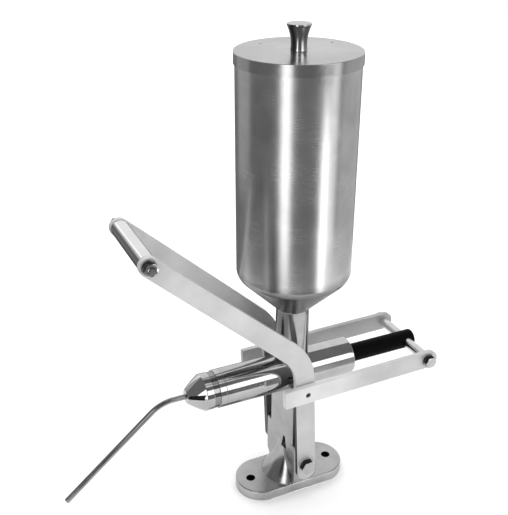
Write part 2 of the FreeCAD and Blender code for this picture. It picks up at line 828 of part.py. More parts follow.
# Lid and knob
def lid():
    outer = hopper_radius + lid_gap + lid_sheet
    low = lid_top - lid_skirt
    body = bar_z(outer, low, lid_top)
    body = round_edges(body, lid_round, lambda c, e: abs(c.z - lid_top) < slip)
    body = body.cut(bar_z(outer - lid_sheet, low - overrun, lid_under))
    body = body.cut(bar_z(knob_screw_dia / 2 + slip, low, lid_top + overrun))
    for x, y in ((vent_near_x, vent_near_y), (vent_far_x, vent_far_y)):
        body = body.cut(bar_z(vent_dia / 2, low, lid_top + overrun, x, y))
    return body


def knob():
    """a round knob, waisted low down and flared to a wide flat top"""
    base = knob_base_dia / 2
    waist = knob_waist_dia / 2
    top = knob_top_dia / 2
    z0 = lid_top
    lip = z0 + knob_height - knob_lip
    z1 = z0 + knob_height
    middle = at(waist + (top - waist) * knob_middle_share, 0, z0 + knob_height / 2)
    corners = [at(top, 0, lip), at(top, 0, z1), at(0, 0, z1), at(0, 0, z0), at(base, 0, z0)]
    edges = [Part.Arc(corners[-1], middle, corners[0]).toShape()]
    edges += [Part.makeLine(a, b) for a, b in zip(corners[:-1], corners[1:])]
    body = Part.Face(Part.Wire(edges)).revolve(at(0, 0, 0), Z, 360)
    body = round_edges(body, knob_lip_round, lambda c, e: abs(c.z - z1) < slip)
    screw_end = lid_under + knob_screw_length + side_gap
    return body.cut(bar_z(knob_screw_dia / 2 + slip, z0 - overrun, screw_end))


def knob_washer():
    return bar_z(knob_washer_dia / 2, lid_under - knob_washer_thick, lid_under).cut(
        bar_z(knob_screw_dia / 2 + slip, lid_under - overrun, lid_under + overrun))


def knob_screw():
    seat = lid_under - knob_washer_thick
    body = bar_z(knob_screw_head_dia / 2, seat - knob_screw_head_height, seat)
    return body.fuse(bar_z(knob_screw_dia / 2, seat - knob_screw_head_height / 2,
                           lid_under + knob_screw_length)).removeSplitter()


os.makedirs("parts", exist_ok=True)
save(foot(), "foot_casting")
save(pocket_plug(), "pocket_plug")
save(tie_bolt(), "tie_bolt")
save(barrel_boss(), "barrel_boss")
save(both_sides(pivot_bolt), "pivot_bolts")
save(pivot_washers(), "pivot_washers")
save(both_sides(pivot_bush), "pivot_bushes")
for name, side in (("near", -1), ("far", 1)):
    save(lever_arm(side), "lever_arm_" + name)
    save(link(side), "link_" + name)
    save(link_pin(side), "link_pin_" + name)
    save(link_spacer(side), "link_spacer_" + name)
save(handle_tube(), "handle_tube")
save(handle_bolt(), "handle_bolt")
save(both_sides(handle_washer), "handle_washers")
save(both_sides(handle_nut), "handle_nuts")
save(cross_rod(), "cross_rod")
save(both_sides(cross_bolt), "cross_rod_bolts")
save(both_sides(cross_washer), "cross_rod_washers")
save(plunger(), "plunger_rod")
save(piston(), "piston")
save(piston_rings(), "piston_rings")
save(piston_screw(), "piston_screw")
save(barrel(), "barrel")
save(gland(), "rear_gland")
save(gland_seal(), "gland_seal")
save(nose_cap(), "nose_cap")
save(nose_seal(), "nose_seal")
save(nozzle(), "nozzle_tube")
save(neck_tube(), "neck_tube")
save(hopper(), "hopper_shell")
save(lid(), "lid")
save(knob(), "lid_knob")
save(knob_washer(), "knob_washer")
save(knob_screw(), "knob_screw")
low, high, stroke, tilt = slot_ends()
print("stroke %.4f mm, link tilt %.4f deg over %.1f deg" % (stroke, tilt, lever_swing))
print("pin rides %.3f below and %.3f above its rest place" % (low, high))
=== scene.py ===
import bmesh
import bpy
import math
from mathutils import Matrix, Vector


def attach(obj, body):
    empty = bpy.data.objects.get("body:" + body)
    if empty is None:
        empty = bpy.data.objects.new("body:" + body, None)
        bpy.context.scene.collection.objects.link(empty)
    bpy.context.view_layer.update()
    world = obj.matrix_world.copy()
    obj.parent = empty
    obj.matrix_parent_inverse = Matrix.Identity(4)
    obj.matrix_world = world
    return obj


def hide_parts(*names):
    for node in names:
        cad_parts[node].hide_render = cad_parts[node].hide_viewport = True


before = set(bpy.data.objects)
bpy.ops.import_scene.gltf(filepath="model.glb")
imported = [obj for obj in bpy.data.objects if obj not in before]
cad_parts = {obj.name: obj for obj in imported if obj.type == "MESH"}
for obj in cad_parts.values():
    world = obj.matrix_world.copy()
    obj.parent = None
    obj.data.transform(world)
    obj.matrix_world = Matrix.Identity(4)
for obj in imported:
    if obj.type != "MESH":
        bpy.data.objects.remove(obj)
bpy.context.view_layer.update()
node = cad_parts
scene = bpy.context.scene

# Camera. It stands to the left of the machine and above it, at the place and with
# the lens that put every edge of the machine where the photograph has it.
photo_width = 508
focal_pixels = 809.1
sensor = 36.0
camera_place = (-0.37248, -0.70852, 0.70486)
camera_tilt = math.radians(63.539)
camera_turn = math.radians(-24.592)
nearest_seen = 0.02
camera_data = bpy.data.cameras.new("camera")
camera_data.sensor_fit = "HORIZONTAL"
camera_data.sensor_width = sensor
camera_data.lens = focal_pixels / photo_width * sensor
camera_data.clip_start = nearest_seen
camera = bpy.data.objects.new("camera", camera_data)
camera.location = camera_place
camera.rotation_euler = (camera_tilt, 0, camera_turn)
scene.collection.objects.link(camera)
scene.camera = camera

# Studio. White paper under an even wash of light, in a dim grey room. A table top
# that only the metal sees, and tall light cards, draw the streaks down the metal.
room_light = 0.17
floor_half = 9
floor_shade = 0.93
table_low = (-0.55, -0.50)
table_high = (0.60, 0.45)
table_lift = 0.0004
table_shade = 0.62
paper_rough = 0.9
paper_gloss = 0.1
scene.view_settings.view_transform = "Standard"
world = bpy.data.worlds.new("studio")
world.use_nodes = True
room = world.node_tree.nodes["Background"]
room.inputs["Color"].default_value = (1, 1, 1, 1)
room.inputs["Strength"].default_value = room_light
scene.world = world


def paper_sheet(name, low, high, height, shade):
    """a flat sheet of paper for the machine to stand on or to mirror"""
    size = (high[0] - low[0], high[1] - low[1], 1)
    centre = ((high[0] + low[0]) / 2, (high[1] + low[1]) / 2, height)
    sheet = bmesh.new()
    bmesh.ops.create_grid(sheet, x_segments=1, y_segments=1, size=0.5)
    bmesh.ops.scale(sheet, vec=size, verts=sheet.verts)
    bmesh.ops.translate(sheet, vec=centre, verts=sheet.verts)
    data = bpy.data.meshes.new(name)
    sheet.to_mesh(data)
    sheet.free()
    paper = bpy.data.materials.new(name)
    paper.use_nodes = True
    shader = paper.node_tree.nodes["Principled BSDF"]
    shader.inputs["Base Color"].default_value = (shade, shade, shade, 1)
    shader.inputs["Roughness"].default_value = paper_rough
    shader.inputs["Specular IOR Level"].default_value = paper_gloss
    data.materials.append(paper)
    made = bpy.data.objects.new(name, data)
    scene.collection.objects.link(made)
    return made


def only_in_metal(sheet):
    """a sheet that shows nowhere but in the metal, and shades nothing"""
    sheet.visible_camera = False
    sheet.visible_diffuse = False
    sheet.visible_shadow = False


floor = paper_sheet("floor", (-floor_half, -floor_half), (floor_half, floor_half), 0, floor_shade)
floor.visible_glossy = False
only_in_metal(paper_sheet("table_top", table_low, table_high, table_lift, table_shade))


def light_card(name, place, aim, width, height, brightness, seen_in_metal=True):
    """a rectangular light at one place, facing another, as bright as its paper would look"""
    data = bpy.data.lights.new(name, "AREA")
    data.shape = "RECTANGLE"
    data.size = width
    data.size_y = height
    data.energy = brightness * math.pi * width * height
    card = bpy.data.objects.new(name, data)
    card.location = place
    card.rotation_euler = (Vector(aim) - Vector(place)).to_track_quat("-Z", "Y").to_euler()
    card.visible_camera = False
    card.visible_glossy = seen_in_metal
    scene.collection.objects.link(card)


light_card("floor_wash", (0.4, 1.2, 5.0), (0.4, 1.2, 0), width=11, height=11, brightness=1.7,
           seen_in_metal=False)
light_card("narrow_card", (-1.34, -1.26, -0.10), (0, 0, -0.10), width=0.56, height=3.0, brightness=2.1)
light_card("wide_card", (0.60, -1.24, -0.77), (0, 0, -0.77), width=0.29, height=1.7, brightness=3.4)
light_card("wide_card_fade", (0.93, -1.05, -0.35), (0, 0, -0.35), width=0.40, height=2.6, brightness=0.95)
light_card("high_card", (0.52, -1.26, 0.71), (0, 0, 0.71), width=0.62, height=0.72, brightness=1.7)
light_card("top_card", (0.45, -0.74, 2.0), (0.1, 0, 0.2), width=0.5, height=0.8, brightness=0.7)
light_card("back_card", (0.9, 2.4, 1.9), (0, 0, 1.0), width=5.0, height=4.4, brightness=0.64)
light_card("back_left_card", (-1.5, 1.9, 0.6), (0, 0, 0.3), width=1.9, height=2.4, brightness=0.27)
light_card("right_card", (2.2, 0.1, -0.2), (0, 0, 0.1), width=2.9, height=2.4, brightness=0.37)

# Black flag. A small black board stands left of the nose. Only the metal sees it,
# and it gives the polished cone its dark wedge.
flag_half = (0.066, 0.088)
flag_place = (-0.357, -0.195, 0.118)
flag_turn = math.radians(-52)
flag_shade = 0.01
black_flag = paper_sheet("black_flag", (-flag_half[0], -flag_half[1]), flag_half, 0, flag_shade)
black_flag.rotation_euler = (math.radians(90), 0, flag_turn)
black_flag.location = flag_place
only_in_metal(black_flag)

# Foot. One aluminium casting, sawn and milled, then sanded on its flats and
# buffed on the turned skirt. Two bolts through its plate hold it to the counter.
mm = 0.001
plate_height = 12.7
bolt_x = 52.75
bolt_hole_radius = 5.5
column_side = 29.0
hub_top = 71.0
flare_radius = 34.5
flare_height = 60.0
axes = {"X": Vector((1, 0, 0)), "Y": Vector((0, 1, 0)), "Z": Vector((0, 0, 1))}


def graph(material):
    """the material's shader, and short ways to add a node and a link"""
    material.use_nodes = True
    tree = material.node_tree
    shader = tree.nodes["Principled BSDF"]

    def add(kind, **values):
        made = tree.nodes.new(kind)
        for key, value in values.items():
            if key in made.inputs:
                made.inputs[key].default_value = value
            else:
                setattr(made, key, value)
        return made

    return shader, add, tree.links.new


def ranged(add, start, end, low, high):
    """a node that spreads the readings from start to end over low to high"""
    made = add("ShaderNodeMapRange")
    for socket, value in (("From Min", start), ("From Max", end), ("To Min", low), ("To Max", high)):
        made.inputs[socket].default_value = value
    return made


def metal(name, tone, rough, grain, bump, blotch=30.0, rough_spread=0.08, tone_spread=0.08):
    """metal whose fine grain is drawn out along the low numbers of grain"""
    material = bpy.data.materials.new(name)
    shader, add, link = graph(material)
    shader.inputs["Metallic"].default_value = 1.0
    place = add("ShaderNodeTexCoord")
    stretch = add("ShaderNodeMapping", Scale=grain)
    link(place.outputs["Object"], stretch.inputs["Vector"])
    lines = add("ShaderNodeTexNoise", Scale=1.0, Detail=4.0, Roughness=0.65)
    link(stretch.outputs["Vector"], lines.inputs["Vector"])
    cloud = add("ShaderNodeTexNoise", Scale=blotch, Detail=3.0, Roughness=0.55)
    link(place.outputs["Object"], cloud.inputs["Vector"])
    both = add("ShaderNodeMath", operation="ADD")
    link(lines.outputs["Fac"], both.inputs[0])
    link(cloud.outputs["Fac"], both.inputs[1])
    dull = ranged(add, 0.6, 1.4, rough - rough_spread, rough + rough_spread)
    link(both.outputs["Value"], dull.inputs["Value"])
    link(dull.outputs["Result"], shader.inputs["Roughness"])
    ramp = add("ShaderNodeValToRGB")
    for stop, position, grey in ((0, 0.3, tone - tone_spread), (1, 0.7, tone + tone_spread)):
        ramp.color_ramp.elements[stop].position = position
        ramp.color_ramp.elements[stop].color = (grey, grey, grey, 1)
    link(cloud.outputs["Fac"], ramp.inputs["Fac"])
    link(ramp.outputs["Color"], shader.inputs["Base Color"])
    relief = add("ShaderNodeBump", Strength=1.0, Distance=bump)
    link(lines.outputs["Fac"], relief.inputs["Height"])
    link(relief.outputs["Normal"], shader.inputs["Normal"])
    return material


def placed(axis, start, full):
    """a test of how far out a spot lies along an axis, to either side"""
    return "Object", "DOT_PRODUCT", axes[axis], start * mm, full * mm


def facing(axis, start, full):
    """a test of how squarely a surface faces along an axis, either way"""
    return "Normal", "DOT_PRODUCT", axes[axis], start, full


def round_line(x, start, full):
    """a test of how far a spot lies in plan from an upright line to either side"""
    return "Object", "DISTANCE", (x * mm, 0, 0), start * mm, full * mm


def shaded_where(material, tests, tone, feature="Base Color"):
    """within every test a value of the finish is multiplied by the tone. Each test fades in
    between the reading where it starts and the one, higher or lower, where it is full"""
    shader, add, link = graph(material)
    place = add("ShaderNodeTexCoord")
    inside = None
    for source, measure, mark, start, full in tests:
        mirrored = add("ShaderNodeVectorMath", operation="ABSOLUTE")
        link(place.outputs[source], mirrored.inputs[0])
        if measure == "DISTANCE":
            flat = add("ShaderNodeVectorMath", operation="MULTIPLY")
            flat.inputs[1].default_value = (1, 1, 0)
            link(mirrored.outputs["Vector"], flat.inputs[0])
            mirrored = flat
        reading = add("ShaderNodeVectorMath", operation=measure)
        reading.inputs[1].default_value = mark
        link(mirrored.outputs["Vector"], reading.inputs[0])
        within = ranged(add, start, full, 0, 1)
        link(reading.outputs["Value"], within.inputs["Value"])
        if inside:
            both = add("ShaderNodeMath", operation="MULTIPLY")
            link(inside, both.inputs[0])
            link(within.outputs["Result"], both.inputs[1])
            inside = both.outputs["Value"]
        else:
            inside = within.outputs["Result"]
    factor = ranged(add, 0, 1, 1, tone)
    link(inside, factor.inputs["Value"])
    before = shader.inputs[feature].links[0].from_socket
    scaled = add("ShaderNodeVectorMath", operation="MULTIPLY")
    link(before, scaled.inputs[0])
    link(factor.outputs["Result"], scaled.inputs[1])
    link(scaled.outputs["Vector"], shader.inputs[feature])


def dress(name, finish):
    """a node of the frame that is right as it is gets its finish"""
    slots = node[name].material_slots
    if slots:
        for place in slots:
            place.material = finish
    else:
        node[name].data.materials.append(finish)


cast_aluminium = metal("cast_aluminium_sanded", tone=0.53, rough=0.30, grain=(150, 150, 150),
                       bump=0.000003, rough_spread=0.05)
# Painted shade: the walls of the plate's bolt holes are darkened to near black, for the shade down inside
# them.
hole_wall_painted_shade = [round_line(bolt_x, bolt_hole_radius + 0.12, bolt_hole_radius - 0.01)]
# Painted shade: the column's sides that face the arms, in the narrow gap between them, are darkened to about
# a sixth of their tone.
column_gap_painted_shade = [facing("Y", 0.8, 0.95), placed("Y", column_side + 0.6, column_side + 0.3),
                 placed("Z", hub_top - 1, hub_top + 2)]
buffed_skirt = [round_line(0, flare_radius + 1.5, flare_radius - 1.5),
                placed("Z", flare_height + 6, flare_height - 8)]
# Painted light: the plate's upright sides, below its top, are painted a third brighter.
plate_side_painted_light = [facing("Z", 0.5, 0.3), placed("Z", plate_height + 0.3, plate_height - 0.7)]
shaded_where(cast_aluminium, hole_wall_painted_shade, 0.02)
shaded_where(cast_aluminium, column_gap_painted_shade, 0.16)
shaded_where(cast_aluminium, buffed_skirt, 0.6, "Roughness")
shaded_where(cast_aluminium, plate_side_painted_light, 1.3)
dress("foot_casting", cast_aluminium)

# Tie bolt, boss and pocket plug. A socket head bolt runs up the column into the
# turned boss welded under the barrel. A steel plug is pressed into the pocket's floor.
fastener_steel = metal("zinced_steel", tone=0.62, rough=0.16, grain=(300, 300, 300),
                       bump=0.000004, rough_spread=0.05)
# Painted shade: every fastener face that does not face along Y, such as the flats of heads, nuts and washer
# rims, is darkened to near black beside the bright end faces.
shaded_where(fastener_steel, [facing("Y", 0.9, 0.6)], 0.04)
boss_aluminium = metal("sanded_bar", tone=0.84, rough=0.36, grain=(60, 900, 900),
                       bump=0.00001, rough_spread=0.06)
dress("tie_bolt", fastener_steel)
dress("pocket_plug", fastener_steel)
dress("barrel_boss", boss_aluminium)

# Lever pivot. A shoulder bolt with a hexagon head on each side of the hub, with a
# washer on both faces of the arm and a bronze bush inside it.
pivot = (0.0, 0.0, 50.0)
bar_thick = 6.35
side_gap = 0.1
hub_face = 38.5
pivot_washer_thick = 0.8
pivot_washer_radius = 9.0
pivot_hole = 5.05
arm_inner = hub_face + side_gap + pivot_washer_thick
arm_outer = arm_inner + bar_thick
pivot_thread_end = 18.5
pivot_thread_radius = 4.0
pivot_shoulder_radius = 5.0
pivot_head_across = 16.0
pivot_head_height = 6.4
pivot_head_overlap = 3.0
close = 0.01


def bevelled(bench, edges, width, segments, clamp=True):
    """some edges of a bench mesh cut to a round"""
    bmesh.ops.bevel(bench, geom=edges, offset=width, offset_type="OFFSET", segments=segments, profile=0.5,
                    affect="EDGES", clamp_overlap=clamp, material=-1)


def rounded(bench, width, segments=3, over=30, where=None):
    """rounds the edges whose faces meet at more than an angle, or those of them picked by place"""
    sharp = math.radians(over)
    picked = [e for e in bench.edges if len(e.link_faces) == 2 and e.calc_face_angle(0) > sharp
              and (where is None or where((e.verts[0].co + e.verts[1].co) / 2))]
    bevelled(bench, picked, width, segments)


def turned(outline, axis="Z", centre=(0, 0, 0), steps=96):
    """a lathe piece spun from its half outline: distances along the axis and out from it.
    An outline that begins and ends on the axis is solid, any other is closed to a ring"""
    bench = bmesh.new()
    outwards = axes["Z" if axis == "X" else "X"]
    points = [bench.verts.new(axes[axis] * a + outwards * r + Vector(centre)) for a, r in outline]
    lines = [bench.edges.new(pair) for pair in zip(points, points[1:])]
    if outline[0][1] > 0:
        lines.append(bench.edges.new((points[-1], points[0])))
    bmesh.ops.spin(bench, geom=points + lines, cent=centre, axis=axes[axis], dvec=(0, 0, 0),
                   angle=2 * math.pi, steps=steps, use_merge=True, use_normal_flip=False,
                   use_duplicate=False)
    bmesh.ops.remove_doubles(bench, verts=bench.verts, dist=0.0005)
    bmesh.ops.recalc_face_normals(bench, faces=bench.faces)
    return bench


def carved(body, tool, operation="DIFFERENCE"):
    """one bench mesh cut by, joined to or kept within another, both used up"""
    weld_reach = 0.003
    sliver = 0.001
    holders = []
    for bench in (body, tool):
        data = bpy.data.meshes.new("bench")
        bench.to_mesh(data)
        bench.free()
        holders.append(bpy.data.objects.new("bench", data))
        scene.collection.objects.link(holders[-1])
    cut = holders[0].modifiers.new("cut", "BOOLEAN")
    cut.object = holders[1]
    cut.operation = operation
    cut.solver = "EXACT"
    result = bmesh.new()
    result.from_object(holders[0], bpy.context.evaluated_depsgraph_get())
    for holder in holders:
        bpy.data.objects.remove(holder)
    bmesh.ops.remove_doubles(result, verts=result.verts, dist=weld_reach)
    bmesh.ops.dissolve_degenerate(result, edges=result.edges, dist=sliver)
    return result


def hexagon(across, near, far, centre, both=False):
    """a hexagon head or nut along Y, its corners turned down on its far face or on both"""
    face_share = 0.96
    fall_share = 0.55
    overrun = 0.3
    seat_overrun = 0.1
    corner = across / math.sqrt(3)
    face = across / 2 * face_share
    out = 1 if far > near else -1
    fall = out * (corner - face) * fall_share
    wide = corner + overrun
    middle = (near + far) / 2
    prism = bmesh.new()
    bmesh.ops.create_cone(prism, cap_ends=True, segments=6, radius1=corner, radius2=corner,
                          depth=abs(far - near), matrix=Matrix.Rotation(math.radians(90), 4, "X"))
    bmesh.ops.rotate(prism, matrix=Matrix.Rotation(math.radians(30), 3, "Y"), verts=prism.verts)
    bmesh.ops.translate(prism, vec=(centre[0], middle, centre[2]), verts=prism.verts)
    rounded(prism, 0.25, 2, where=lambda p: abs(p.y - middle) < close)
    if both:
        start = [(near, 0), (near, face), (near + fall, wide)]
    else:
        start = [(near - out * seat_overrun, 0), (near - out * seat_overrun, wide)]
    shape = turned(start + [(far - fall, wide), (far, face), (far, 0)], "Y", centre, steps=72)
    return carved(prism, shape, "INTERSECT")


def washer(outer, inner, near, far, centre):
    """a flat washer along Y with its rims just broken"""
    ring = turned([(near, inner), (near, outer), (far, outer), (far, inner)], "Y", centre, steps=64)
    rounded(ring, min(0.25, abs(far - near) * 0.3), 2)
    return ring


def joined(benches):
    """several bench meshes as one"""
    whole = bmesh.new()
    for bench in benches:
        data = bpy.data.meshes.new("bench")
        bench.to_mesh(data)
        bench.free()
        whole.from_mesh(data)
        bpy.data.meshes.remove(data)
    return whole


def dull_stuff(name, colour, grain, detail, rough, strength, bump):
    """a plain coloured material whose fine grain shows in its gloss and its relief, and that grain"""
    material = bpy.data.materials.new(name)
    shader, add, link = graph(material)
    shader.inputs["Base Color"].default_value = (*colour, 1)
    place = add("ShaderNodeTexCoord")
    stretch = add("ShaderNodeMapping", Scale=grain)
    link(place.outputs["Object"], stretch.inputs["Vector"])
    lines = add("ShaderNodeTexNoise", Scale=1.0, Detail=detail)
    link(stretch.outputs["Vector"], lines.inputs["Vector"])
    dull = ranged(add, 0, 1, *rough)
    link(lines.outputs["Fac"], dull.inputs["Value"])
    link(dull.outputs["Result"], shader.inputs["Roughness"])
    relief = add("ShaderNodeBump", Strength=strength, Distance=bump)
    link(lines.outputs["Fac"], relief.inputs["Height"])
    link(relief.outputs["Normal"], shader.inputs["Normal"])
    return material, lines.outputs["Fac"]


def set_down(bench, name, finish, body, slot, *nodes, smooth=35):
    """a mesh finished on the bench goes into the machine, smooth but for its sharp edges"""
    bmesh.ops.scale(bench, vec=(mm, mm, mm), verts=bench.verts)
    data = bpy.data.meshes.new(name)
    bench.to_mesh(data)
    bench.free()
    data.shade_smooth()
    data.set_sharp_from_angle(angle=math.radians(smooth))
    data.materials.append(finish)
    piece = bpy.data.objects.new(name, data)
    scene.collection.objects.link(piece)
    weigh = piece.modifiers.new("even_shading", "WEIGHTED_NORMAL")
    weigh.keep_sharp = True
    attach(piece, body)
    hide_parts(*nodes)


seat = arm_outer + side_gap + pivot_washer_thick
shoulder_line = [(pivot_thread_end, 0), (pivot_thread_end, pivot_thread_radius),
                 (hub_face, pivot_thread_radius), (hub_face, pivot_shoulder_radius),
                 (seat + pivot_head_overlap, pivot_shoulder_radius), (seat + pivot_head_overlap, 0)]
bolts, rings = [], []
for side in (-1, 1):
    head = hexagon(pivot_head_across, side * seat, side * (seat + pivot_head_height), pivot)
    shank = turned([(side * out, radius) for out, radius in shoulder_line], "Y", pivot, steps=48)
    bolts.append(carved(head, shank, "UNION"))
    for start in (hub_face, arm_outer + side_gap):
        rings.append(washer(pivot_washer_radius, pivot_hole, side * start,
                            side * (start + pivot_washer_thick), pivot))
set_down(joined(bolts), "shoulder_bolts", fastener_steel, "root", "fastener_steel", "pivot_bolts", smooth=25)
set_down(joined(rings), "shoulder_washers", fastener_steel, "root", "fastener_steel", "pivot_washers")
bronze = dull_stuff("oiled_bronze", colour=(0.42, 0.29, 0.15), grain=(900, 900, 900), detail=3.0,
                    rough=(0.3, 0.55), strength=0.6, bump=0.00003)[0]
graph(bronze)[0].inputs["Metallic"].default_value = 1.0
dress("pivot_bushes", bronze)

# Barrel. A length of stainless tube, polished along its length, with a feed port
# bored through its top and a thinner threaded spigot turned at the front.
axis_height = 160.0
barrel_axis = (0, 0, axis_height)
barrel_radius = 22.225
bore_radius = 19.0
seam = -90.0
barrel_rear = 70.0
spigot_length = 5.0
spigot_radius = 20.1
neck_radius = 19.05
neck_wall = 1.65
port_reach = 40.0
spigot_front = seam - spigot_length


def cylinder(one_end, other_end, radius, axis="Y", centre=(0, 0, 0), steps=48):
    """a plain round bar between two places along an axis, to cut with or to keep"""
    low, high = sorted((one_end, other_end))
    return turned([(low, 0), (low, radius), (high, radius), (high, 0)], axis, centre, steps)


polished_steel = metal("polished_tube", tone=0.66, rough=0.07, grain=(12, 260, 260),
                       bump=0.0000035, rough_spread=0.03)
tube = turned([(spigot_front, bore_radius), (spigot_front, spigot_radius), (seam, spigot_radius),
               (seam, barrel_radius), (barrel_rear, barrel_radius), (barrel_rear, bore_radius)],
              "X", barrel_axis, steps=128)
rounded(tube, 0.35, 2, where=lambda p: abs(p.x - seam) < close)
port = cylinder(axis_height, axis_height + port_reach, neck_radius - neck_wall, "Z", steps=64)
set_down(carved(tube, port), "barrel_tube", polished_steel, "root", "polished_steel", "barrel")

# Rear gland. A turned plug pressed into the barrel's rear that guides the plunger,
# with a rubber seal in a groove of its bore and a thin flange over the barrel's end.
slip = 0.05
rod_radius = 11.0
gland_front = 49.6
gland_rear = 75.0
seal_front = 63.0
seal_rear = 67.0
seal_thick = 3.0
rod_bore = rod_radius + slip
gland_outside = bore_radius - slip
seal_bed = rod_radius + seal_thick


def off_axis(spot):
    """how far a spot is from the barrel's axis"""
    return (spot.yz - Vector((0, axis_height))).length


gland = turned([(gland_front, rod_bore), (gland_front, gland_outside), (barrel_rear, gland_outside),
                (barrel_rear, barrel_radius), (gland_rear, barrel_radius), (gland_rear, rod_bore),
                (seal_rear, rod_bore), (seal_rear, seal_bed), (seal_front, seal_bed),
                (seal_front, rod_bore)], "X", barrel_axis, steps=128)
rounded(gland, 1.2, 4, where=lambda p: abs(p.x - gland_rear) < close and off_axis(p) > bore_radius)
turned_steel = metal("turned_steel", tone=0.66, rough=0.08, grain=(420, 30, 30),
                     bump=0.000004, rough_spread=0.03)
set_down(gland, "gland", turned_steel, "root", "polished_steel", "rear_gland")
rubber = dull_stuff("black_rubber", colour=(0.012, 0.012, 0.012), grain=(700, 700, 700), detail=4.0,
                    rough=(0.5, 0.75), strength=0.5, bump=0.00002)[0]
for name in ("gland_seal", "nose_seal", "piston_rings"):
    dress(name, rubber)

# Nose cap. Turned from solid and polished, it screws over the barrel's spigot: a
# collar, a shallow groove to grip, a band and a slightly bulging cone.
groove_front = -105.1
groove_rear = -98.0
groove_depth = 1.4
band_radius = 21.5
cone_base = -113.6
cone_tip = -132.9
tip_radius = 7.9
bulge = 0.6
cone_steps = 8
cap_seat = seam - 7.0
funnel_base = -109.4
nozzle_root = -121.9
nozzle_radius = 3.175
nozzle_hole = 3.22
spigot_bed = spigot_radius + slip
groove_painted_shade_fade = 0.2
slope = math.atan2(band_radius - tip_radius, cone_base - cone_tip)
cone_line = []
for i in range(cone_steps + 1):
    share = i / cone_steps
    swell = 4 * bulge * share * (1 - share)
    cone_line.append((cone_tip + (cone_base - cone_tip) * share - swell * math.sin(slope),
                      tip_radius + (band_radius - tip_radius) * share + swell * math.cos(slope)))
cap = turned([(cone_tip, nozzle_hole)] + cone_line + [
    (groove_front, band_radius), (groove_front, barrel_radius - groove_depth),
    (groove_rear, barrel_radius - groove_depth), (groove_rear, barrel_radius), (seam, barrel_radius),
    (seam, spigot_bed), (cap_seat, spigot_bed), (cap_seat, bore_radius),
    (funnel_base, bore_radius), (nozzle_root, nozzle_hole)], "X", barrel_axis, steps=128)
rounded(cap, 0.4, 3, where=lambda p: abs(p.x - cone_base) < close and off_axis(p) > bore_radius)
rounded(cap, 0.8, 3, where=lambda p: abs(p.x - cone_tip) < close and off_axis(p) > nozzle_radius + 1)
rounded(cap, 0.3, 2, where=lambda p: p.x > groove_front - 0.1 and off_axis(p) > spigot_bed + 0.1)
# Painted shade: the grip groove of the nose cap is darkened to six tenths of the tone, for the shade in the
# recess.
shaded_where(turned_steel, [placed("X", -groove_rear - groove_painted_shade_fade, -groove_rear),
                            placed("X", groove_painted_shade_fade - groove_front, -groove_front)], 0.6)
set_down(cap, "nose_cap_turned", turned_steel, "root", "polished_steel", "nose_cap")

# Nozzle. Thin stainless tube soldered into the cone, bent once over a former and
# left with a plain end that a filling tip pushes on to.
nozzle_wall = 0.8
bend_x = -147.4
bend_radius = 40.0
drop = math.radians(40.5)
straight = 136.0
pipe = bmesh.new()
bmesh.ops.create_circle(pipe, cap_ends=False, segments=32, radius=nozzle_radius,
                        matrix=Matrix.Translation((nozzle_root, 0, axis_height))
                        @ Matrix.Rotation(math.radians(90), 4, "Y"))


def drawn_on(bench, rim, way):
    """the open rim of a tube drawn on along a way, and its new rim"""
    grown = bmesh.ops.extrude_edge_only(bench, edges=rim)["geom"]
    bmesh.ops.translate(bench, vec=way, verts=[v for v in grown if isinstance(v, bmesh.types.BMVert)])
    return [e for e in grown if isinstance(e, bmesh.types.BMEdge)]


rim = drawn_on(pipe, pipe.edges[:], (bend_x - nozzle_root, 0, 0))
rim_points = list({v for e in rim for v in e.verts})
turn = bmesh.ops.spin(pipe, geom=rim_points + rim, cent=(bend_x, 0, axis_height - bend_radius),
                      axis=(0, -1, 0), dvec=(0, 0, 0), angle=drop, steps=20, use_merge=False,
                      use_normal_flip=False, use_duplicate=False)["geom_last"]
rim = [e for e in turn if isinstance(e, bmesh.types.BMEdge)]
drawn_on(pipe, rim, (-straight * math.cos(drop), 0, -straight * math.sin(drop)))
bmesh.ops.remove_doubles(pipe, verts=pipe.verts, dist=0.001)
bmesh.ops.recalc_face_normals(pipe, faces=pipe.faces)
bmesh.ops.solidify(pipe, geom=pipe.faces[:], thickness=nozzle_wall)
drawn_steel = metal("drawn_steel", tone=0.42, rough=0.15, grain=(60, 400, 60),
                    bump=0.000003, rough_spread=0.04)
set_down(pipe, "nozzle_pipe", drawn_steel, "root", "polished_steel", "nozzle_tube")

# Neck. A short tube coped to sit on the barrel and welded to it and to the hopper's
# cone. Both welds are ground to thin beads.
neck_top = 246.0
coping_reach = 60.0
saddle_stand = 0.3
saddle_sink = 0.1
saddle_bead = 0.8
collar_stand = 0.1
collar_bead = 0.55
bead_steps = 48
neck = turned([(axis_height, neck_radius - neck_wall), (axis_height, neck_radius),
               (neck_top, neck_radius), (neck_top, neck_radius - neck_wall)], "Z", steps=96)
coping = cylinder(-coping_reach, coping_reach, barrel_radius, "X", barrel_axis, steps=128)
neck_steel = metal("polished_neck", tone=0.54, rough=0.12, grain=(200, 200, 14),
                   bump=0.000004, rough_spread=0.03)
# Painted shade: the neck's front and back, facing along X, are darkened to about a third.
shaded_where(neck_steel, [facing("X", 0.45, 0.7)], 0.35)
set_down(carved(neck, coping), "neck_pipe", neck_steel, "root", "polished_steel", "neck_tube")
weld_steel = metal("ground_weld", tone=0.55, rough=0.26, grain=(350, 350, 350),
                   bump=0.00002, rough_spread=0.06)


